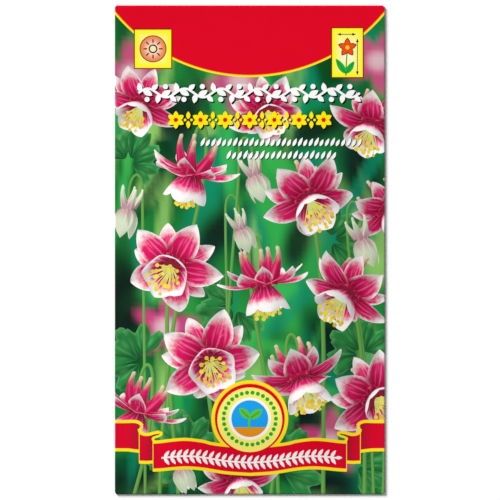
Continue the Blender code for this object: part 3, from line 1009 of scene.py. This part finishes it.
def topmost(places, shown):
    """The highest of the shown faces at each place, or -1 where there is none."""
    order = np.argsort(places[:, 0])
    places = places[order]
    highest = np.full(len(places), -1e9)
    winner = np.full(len(places), -1)
    for number in shown:
        outline = art_points[art.faces[number]]
        low, high = np.searchsorted(places[:, 0], (outline[:, 0].min(), outline[:, 0].max()))
        across, along = places[low:high, 0], places[low:high, 1]
        inside = np.zeros(high - low, bool)
        for start, stop in zip(outline, np.roll(outline, -1, axis=0)):
            if start[1] != stop[1]:
                meets = start[0] + (along - start[1]) * (stop[0] - start[0]) / (stop[1] - start[1])
                inside ^= ((start[1] > along) != (stop[1] > along)) & (across < meets)
        hit = low + np.flatnonzero(inside)
        level = places[hit] @ slopes[number, :2, 0] + slopes[number, 2, 0]
        hit, level = hit[level > highest[hit]], level[level > highest[hit]]
        highest[hit] = level
        winner[hit] = number
    result = np.empty_like(winner)
    result[order] = winner
    return result


def cut(points, edges, faces, shown):
    """Triangulate the paper along edges and faces, and find what shows on each triangle."""
    verts, _, triangles, *_ = delaunay_2d_cdt(points, edges, faces, 1, EPSILON, True)
    verts = np.array([(point.x, point.y) for point in verts])
    triangles = np.array(triangles)
    middles = verts[triangles].mean(axis=1)
    on_paper = is_paper(middles[:, 0], middles[:, 1])
    return verts, triangles[on_paper], topmost(middles[on_paper], shown)


# Small faces of which neither the middle nor a corner or side is seen take no part
samples, owners = [], []
for number, face in enumerate(art.faces):
    outline = art_points[face]
    middle = outline.mean(axis=0)
    around = np.concatenate((outline, (outline + np.roll(outline, -1, axis=0)) / 2))
    samples += [middle, *(around * (1 - SAMPLE_INSET) + middle * SAMPLE_INSET)]
    owners += [number] * (len(around) + 1)
owners = np.array(owners)
seen = owners[topmost(np.array(samples), range(len(art.faces))) == owners]
spans = np.array([np.ptp(art_points[face], axis=0).max() for face in art.faces])
shown = sorted(set(seen.tolist()) | set(np.flatnonzero(spans > WIDE).tolist()))
first = len(sheet_points)
verts, triangles, winner = cut(
    sheet_points + [Vector(point) for point in art.points], [],
    sheet_faces + [[first + corner for corner in art.faces[number]] for number in shown], shown)

# Only lines between faces that show are kept, and the sheet's own grid where it is needed
middles = verts[triangles].mean(axis=1)
cell = (np.searchsorted(sheet_columns, middles[:, 0]) * len(sheet_rows)
        + np.searchsorted(sheet_rows, middles[:, 1]))
on_front = ((abs(middles[:, 0] - (FRONT_LEFT + FRONT_RIGHT) / 2)
             < (FRONT_RIGHT - FRONT_LEFT) / 2 - CORNER_RELIEF)
            & (abs(middles[:, 1]) < FRONT_TOP - CORNER_RELIEF))
cell[(winner >= 0) & ~is_stamped[winner] & on_front] = 0
keys = (winner + 1) * (len(sheet_columns) * len(sheet_rows) + 1) + cell
sides = np.sort(np.concatenate([triangles[:, [0, 1]], triangles[:, [1, 2]], triangles[:, [2, 0]]]))
side_keys = np.tile(keys, 3)
order = np.lexsort((sides[:, 1], sides[:, 0]))
sides, side_keys = sides[order], side_keys[order]
same_side = np.append((sides[1:] == sides[:-1]).all(axis=1), False)
same_key = np.append(side_keys[1:] == side_keys[:-1], False)
second = np.roll(same_side, 1)
links = defaultdict(set)
for here, there in sides[~second & ~(same_side & same_key)].tolist():
    links[here].add(there)
    links[there].add(here)
for number in list(links):
    if len(links[number]) == 2:
        here, there = links[number]
        before, after = verts[here] - verts[number], verts[there] - verts[number]
        bend = abs(before[0] * after[1] - before[1] * after[0])
        if bend < STRAIGHT * np.hypot(*(before - after)) and before @ after < 0:
            links[here].remove(number)
            links[there].remove(number)
            links[here].add(there)
            links[there].add(here)
            del links[number]
numbers = {number: place for place, number in enumerate(links)}
lines = [(numbers[here], numbers[there]) for here in links for there in links[here] if here < there]
verts, triangles, winner = cut([Vector(verts[number]) for number in links], lines, [], shown)
corners = verts[triangles]

# What each corner of the print carries: its colour or light, and its place on the petal
is_ground = winner < 0
is_flat = np.array([ink == "flat" for ink in art.inks])[winner]
slope = slopes[winner]
carried = np.einsum("fkc,fcv->fkv", corners, slope[:, :2]) + slope[:, None, 2]
lows = np.array([art_values[face].min(axis=0) for face in art.faces])[winner]
highs = np.array([art_values[face].max(axis=0) for face in art.faces])[winner]
carried = np.clip(carried, lows[:, None], highs[:, None])
light = carried[:, :, 3:4]
art_colours = np.array(art.colours)[winner]
ink_colours = art_colours[:, None, :3] * light + art_colours[:, None, 3:] * (1 - light)
ink_colours[~is_flat] = light[~is_flat]
ink_colours[is_ground] = ground_colours(verts)[triangles[is_ground]]

used = np.unique(triangles)
renumber = -np.ones(len(verts), int)
renumber[used] = np.arange(len(used))
outer_faces = renumber[triangles].tolist()
outer_places = verts[used].tolist()
inner_places = [tuple(vertex.co.xy) for vertex in plain_sheet.verts]
inner_faces = [face[::-1] for face in sheet_faces]

# The cut edge joins the printed side to the bare side, run by run between their shared points
uses = defaultdict(list)
for a, b, c in outer_faces:
    for start, end in ((a, b), (b, c), (c, a)):
        uses[min(start, end), max(start, end)].append((start, end))
rim = {runs[0][0]: runs[0][1] for runs in uses.values() if len(runs) == 1}


def place_key(place):
    """A place on the sheet to a thousandth of a millimetre, to match the two sides by."""
    return round(place[0] * 1000), round(place[1] * 1000)


offset = len(outer_places)
partners = {place_key(place): offset + number for number, place in enumerate(inner_places)}
inner_of = {number: partners.get(place_key(outer_places[number])) for number in rim}
rim_loop = [next(number for number in rim if inner_of[number])]
for _ in range(len(rim) - 1):
    rim_loop.append(rim[rim_loop[-1]])
assert rim[rim_loop[-1]] == rim_loop[0], "the sheet's edge isn't one loop"
rim_runs = []
run = [rim_loop[0]]
for number in rim_loop[1:] + rim_loop[:1]:
    run.append(number)
    if inner_of[number]:
        rim_runs.append(run)
        run = [number]

mesh_points = [folded(x, y, PAPER / 2) for x, y in outer_places]
mesh_points += [folded(x, y, -PAPER / 2) for x, y in inner_places]
mesh_faces = outer_faces + [[offset + number for number in face] for face in inner_faces]
mesh_faces += [[*reversed(run), inner_of[run[0]], inner_of[run[-1]]] for run in rim_runs]
mesh = bpy.data.meshes.new("envelope_print")
mesh.from_pydata(mesh_points, [], mesh_faces)
mesh.shade_smooth()
mesh.set_sharp_from_angle(angle=CREASE_ANGLE)

loops = len(mesh.loops)
outer_loops = 3 * len(outer_faces)
colour_data = np.ones((loops, 4))
colour_data[:outer_loops, :3] = ink_colours.reshape(-1, 3)
mesh.attributes.new("Ink", "FLOAT_COLOR", "CORNER").data.foreach_set("color", colour_data.ravel())
motif = np.zeros((loops, 2))
motif[:outer_loops, 0] = (carried[:, :, 1].ravel() + 1) / 2
motif[:outer_loops, 1] = carried[:, :, 2].ravel()
mesh.uv_layers.new(name="Motif").data.foreach_set("uv", motif.ravel())

# The square that the print is baked to: more than half of its width for the front, then the back,
# and at its right edge a narrow strip each for the bare side and the cut edge
BAKE_COLUMNS = (SIDE_FOLD_END - SIDE_FLAP, SIDE_FOLD_END, BACK_FOLD_END, BACK_END)
BAKE_SHARES = (0.0, 0.02, 0.60, 0.94)
BARE_LEFT, BARE_WIDTH = 0.944, 0.05
RIM_LEFT, RIM_RIGHT = 0.996, 0.9995


def bake_places(places):
    """Where places on the sheet lie in the square that the print is baked to."""
    along = (places[:, 1] - sheet_rows[0]) / (sheet_rows[-1] - sheet_rows[0])
    return np.stack((np.interp(places[:, 0], BAKE_COLUMNS, BAKE_SHARES), 0.002 + 0.996 * along),
                    axis=1)


outer_bake = bake_places(corners.reshape(-1, 2))
inner_bake = bake_places(np.array(inner_places)[[number for face in inner_faces for number in face]])
inner_bake[:, 0] = BARE_LEFT + BARE_WIDTH * inner_bake[:, 0]
rim_bake = []
step = 0
for run in rim_runs:
    shares = [(step + number) / len(rim_loop) for number in range(len(run))]
    rim_bake += [(RIM_LEFT, share) for share in reversed(shares)]
    rim_bake += [(RIM_RIGHT, shares[0]), (RIM_RIGHT, shares[-1])]
    step += len(run) - 1
bake = np.concatenate((outer_bake, inner_bake, rim_bake))
mesh.uv_layers.new(name="OFBake").data.foreach_set("uv", bake.ravel())

ink_numbers = np.full(len(mesh.polygons), INKS.index("bare"))
ink_numbers[:len(outer_faces)] = np.array([INKS.index(ink) for ink in art.inks])[winner]
ink_numbers[:len(outer_faces)][is_ground] = INKS.index("flat")
mesh.polygons.foreach_set("material_index", ink_numbers)
envelope = bpy.data.objects.new("envelope_print", mesh)
bpy.context.scene.collection.objects.link(envelope)

# Inks, varnish and bare paper
# Flat inks show the artwork's own colours. The inks of petals, spurs, buds and leaves add veins
# and pale edges by the place on the petal. A satin varnish lies over all of them, and the side
# that lies inside is bare paper.
CORAL_PINK = (0.92, 0.24, 0.46)
PALE_TIP = (0.96, 0.93, 0.92)


class Socket:
    """A value in a material's nodes, so that sums on values are written as sums."""

    def __init__(self, recipe, output):
        self.recipe = recipe
        self.output = output

    def _sum(self, operation, *values):
        return self.recipe.node("ShaderNodeMath", {"operation": operation},
                                dict(enumerate(values)))

    def __add__(self, other):
        return self._sum("ADD", self, other)

    def __sub__(self, other):
        return self._sum("SUBTRACT", self, other)

    def __rsub__(self, other):
        return self._sum("SUBTRACT", other, self)

    def __mul__(self, other):
        return self._sum("MULTIPLY", self, other)

    def __abs__(self):
        return self._sum("ABSOLUTE", self)

    def highest(self, other):
        """The larger of this and another value."""
        return self._sum("MAXIMUM", self, other)

    def ramp(self, low, high):
        """0 below low, 1 above high, and smooth between."""
        return self.recipe.node(
            "ShaderNodeMapRange", {"interpolation_type": "SMOOTHSTEP", "clamp": True},
            {"Value": self, "From Min": low, "From Max": high})

    __radd__ = __add__
    __rmul__ = __mul__


class Recipe:
    """The nodes of one material, ending in a Principled shader."""

    def __init__(self, name):
        self.material = bpy.data.materials.new(name)
        self.material.use_nodes = True
        self.nodes = self.material.node_tree.nodes
        self.links = self.material.node_tree.links
        self.shader = self.nodes["Principled BSDF"]

    def node(self, kind, settings=None, inputs=None, output=0):
        """Add a node, set it, give its sockets values or links, and return one output."""
        made = self.nodes.new(kind)
        for name, value in (settings or {}).items():
            setattr(made, name, value)
        for name, value in (inputs or {}).items():
            self.give(made.inputs[name], value)
        return Socket(self, made.outputs[output])

    def give(self, socket, value):
        """Set a socket, or link it."""
        if isinstance(value, Socket):
            self.links.new(value.output, socket)
        else:
            socket.default_value = value

    def place(self):
        """The place on the object, in metres."""
        return self.node("ShaderNodeTexCoord", output="Object")

    def split(self, vector):
        """The three parts of a vector."""
        parts = self.node("ShaderNodeSeparateXYZ", {}, {0: vector}).output.node.outputs
        return [Socket(self, part) for part in parts]

    def mix(self, share, *colours):
        """Mix two colours."""
        first, second = (colour if isinstance(colour, Socket) else (*colour, 1)
                         for colour in colours)
        return self.node("ShaderNodeMix", {"data_type": "RGBA"}, {0: share, 6: first, 7: second},
                         output=2)

    def times(self, colour, value):
        """Darken or lighten a colour by a value."""
        return self.node("ShaderNodeVectorMath", {"operation": "SCALE"},
                         {0: colour, "Scale": value})

    def noise(self, vector, scale, detail):
        """Soft noise round 0.5."""
        return self.node("ShaderNodeTexNoise", {}, {"Vector": vector, "Scale": scale,
                                                    "Detail": detail})

    def bump(self, height, strength, distance):
        """A low relief."""
        return self.node("ShaderNodeBump", {}, {"Strength": strength, "Distance": distance,
                                                "Height": height})

    def finish(self, **sockets):
        """Set the shader's sockets."""
        for name, value in sockets.items():
            self.give(self.shader.inputs[name.replace("_", " ")], value)
        return self.material


def printed(recipe, colour):
    """Coat the printed paper: a satin varnish over faint cloudiness and fibre grain."""
    place = recipe.place()
    fibre = recipe.noise(place, 2600.0, 3.0)
    cloud = recipe.noise(place, 140.0, 2.0)
    colour = recipe.times(colour, 0.915 + 0.03 * cloud)
    return recipe.finish(Base_Color=colour, Roughness=0.54 + 0.14 * cloud,
                         Normal=recipe.bump(fibre, 0.12, 0.00002), Specular_IOR_Level=0.06)


def flat_ink():
    """Process colours as the artwork gives them."""
    recipe = Recipe("flat_ink")
    return printed(recipe, recipe.node("ShaderNodeVertexColor", {"layer_name": "Ink"}))


def petal_ink(name, body, foot, tip, vein, tip_range, edge_from, vein_share):
    """A petal's colour: deep at its foot, veined along its length, pale at tip and edge."""
    recipe = Recipe(name)
    light = recipe.node("ShaderNodeVertexColor", {"layer_name": "Ink"})
    level = recipe.node("ShaderNodeSeparateColor", {}, {0: light})
    motif = recipe.node("ShaderNodeUVMap", {"uv_map": "Motif"})
    side, along, _ = recipe.split(motif)
    across = abs(side * 2 - 1)
    rough = recipe.noise(recipe.place(), 900.0, 2.0) - 0.5
    stretched = recipe.node("ShaderNodeMapping", {}, {"Vector": motif, "Scale": (9.0, 1.3, 1.0)})
    veins = recipe.noise(stretched, 1.0, 1.0).ramp(0.50, 0.66) * vein_share
    pale = (along + 0.22 * rough + 0.10 * across).ramp(*tip_range)
    if edge_from:
        pale = pale.highest((across + 0.30 * rough).ramp(edge_from, 1.0) * along.ramp(0.2, 0.6))
    colour = recipe.mix(along.ramp(0.0, 0.55), foot, body)
    colour = recipe.mix(veins, colour, vein)
    colour = recipe.mix(pale, colour, tip)
    return printed(recipe, recipe.times(colour, 0.10 + 0.98 * level))


def bare_paper():
    """The uncoated inside and the cut edges: white, with short fibres."""
    recipe = Recipe("bare_paper")
    fibre = recipe.noise(recipe.place(), 1800.0, 4.0)
    colour = recipe.mix(fibre, (0.74, 0.73, 0.70), (0.88, 0.87, 0.84))
    return recipe.finish(Base_Color=colour, Roughness=0.8 + 0.1 * fibre,
                         Normal=recipe.bump(fibre, 0.3, 0.00003))


ink_materials = {
    "flat": flat_ink(),
    "sepal": petal_ink("sepal_ink", (0.80, 0.007, 0.130), (0.50, 0.0, 0.030), (0.98, 0.92, 0.90),
                       CORAL_PINK, (0.62, 0.95), 0.70, 0.55),
    "petal": petal_ink("petal_ink", (0.80, 0.012, 0.16), (0.36, 0.0, 0.03), PALE_TIP,
                       (0.93, 0.32, 0.52), (0.48, 0.80), 0.74, 0.5),
    "spur": petal_ink("spur_ink", (0.66, 0.010, 0.11), (0.50, 0.002, 0.06), (0.72, 0.62, 0.40),
                      (0.80, 0.18, 0.34), (0.52, 0.95), None, 0.35),
    "bud": petal_ink("bud_ink", (0.66, 0.76, 0.54), (0.62, 0.30, 0.36), (0.80, 0.86, 0.66),
                     (0.84, 0.86, 0.74), (0.55, 0.95), 0.75, 0.6),
    "leaf": petal_ink("leaf_ink", (0.022, 0.24, 0.055), (0.004, 0.11, 0.030), (0.10, 0.40, 0.12),
                      (0.13, 0.42, 0.14), (0.85, 1.10), None, 0.5),
    "bare": bare_paper(),
}
for ink in INKS:
    mesh.materials.append(ink_materials[ink])
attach(envelope, "root")
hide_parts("envelope")

# Sachet and seeds
# Inside the envelope lies a sachet of milky film, crimped where it is heat-sealed, with the seeds
# at its foot. Columbine seeds are black and glossy. Both keep their solid shapes.
SEAL_FROM_SIDE = 0.020
SEAL_FROM_TOP = 0.0
SEAL_EDGE = 0.0003
CRIMPS_PER_METRE = 1100


def film():
    """Milky film: soft creases with painted shade, and fine crimps across its seals."""
    recipe = Recipe("milky_film")
    place = recipe.place()
    x, y, _ = recipe.split(place)
    crease_and_painted_shade = recipe.noise(place, 160.0, 3.0)
    sealed = abs(x).ramp(SEAL_FROM_SIDE - SEAL_EDGE, SEAL_FROM_SIDE).highest(
        y.ramp(SEAL_FROM_TOP, SEAL_FROM_TOP + SEAL_EDGE))
    crimp = recipe.node("ShaderNodeMath", {"operation": "SINE"},
                        {0: (x + y) * (2 * math.pi * CRIMPS_PER_METRE)})
    colour = recipe.mix(sealed, (0.83, 0.84, 0.82), (0.90, 0.90, 0.88))
    # Painted shade: the film's colour follows the crease relief, darker in its hollows and lighter on
    # its ridges.
    return recipe.finish(Base_Color=recipe.times(colour, 0.93 + 0.12 * crease_and_painted_shade),
                         Roughness=0.26 + 0.16 * crease_and_painted_shade,
                         Normal=recipe.bump(crease_and_painted_shade + sealed * crimp * 0.3, 0.5, 0.0001))


def seed_coat():
    """A hard black coat with brown depths, a little pitted."""
    recipe = Recipe("seed_coat")
    place = recipe.place()
    cloud = recipe.noise(place, 1500.0, 3.0)
    pits = recipe.noise(place, 9000.0, 1.0)
    return recipe.finish(Base_Color=recipe.mix(cloud, (0.006, 0.005, 0.005), (0.045, 0.025, 0.016)),
                         Roughness=0.16 + 0.14 * cloud, Coat_Weight=0.4,
                         Normal=recipe.bump(pits, 0.25, 0.00003))


film_material, seed_material = film(), seed_coat()
for name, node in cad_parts.items():
    if name != "envelope":
        for material_slot in node.material_slots:
            material_slot.material = film_material if name == "inner_sachet" else seed_material

# Floor, light and camera
# The packet lies on a white floor under one large soft lamp from the upper left and an even white
# sky. The camera looks straight down on the front from 1.2 m.
FLOOR_SIZE = 3.0
FLOOR_WHITE = (0.97, 0.97, 0.97, 1)
KEY_STRENGTH = 5.5
KEY_SOFTNESS = math.radians(24)
KEY_DIRECTION = (0.62, -0.62, -0.42)
SKY_STRENGTH = 0.30
PHOTO_SIZE = 500
PHOTO_MIDDLE = 249.8
PHOTO_FRONT = 269.6
CAMERA_HEIGHT = 1.2
SENSOR = 36.0
floor_mesh = bmesh.new()
bmesh.ops.create_grid(floor_mesh, x_segments=1, y_segments=1, size=FLOOR_SIZE)
floor_data = bpy.data.meshes.new("floor")
floor_mesh.to_mesh(floor_data)
floor_data.materials.append(Recipe("floor_paper").finish(
    Base_Color=FLOOR_WHITE, Roughness=0.9, Specular_IOR_Level=0.0))
floor = bpy.data.objects.new("floor", floor_data)
bpy.context.scene.collection.objects.link(floor)

key_lamp = bpy.data.lights.new("key", "SUN")
key_lamp.energy = KEY_STRENGTH
key_lamp.angle = KEY_SOFTNESS
key = bpy.data.objects.new("key", key_lamp)
key.rotation_euler = Vector(KEY_DIRECTION).to_track_quat("-Z", "Y").to_euler()
bpy.context.scene.collection.objects.link(key)
world = bpy.data.worlds.new("studio")
world.use_nodes = True
sky = world.node_tree.nodes["Background"]
sky.inputs["Color"].default_value = (1, 1, 1, 1)
sky.inputs["Strength"].default_value = SKY_STRENGTH
bpy.context.scene.world = world
bpy.context.scene.view_settings.view_transform = "Standard"

photo_pixel = WIDTH / PHOTO_FRONT * MM
off_middle = (PHOTO_SIZE / 2 - PHOTO_MIDDLE) * photo_pixel
camera_data = bpy.data.cameras.new("camera")
camera_data.sensor_width = SENSOR
camera_data.lens = SENSOR * CAMERA_HEIGHT / (PHOTO_SIZE * photo_pixel)
camera = bpy.data.objects.new("camera", camera_data)
camera.location = (off_middle, -off_middle, CAMERA_HEIGHT)
bpy.context.scene.collection.objects.link(camera)
bpy.context.scene.camera = camera
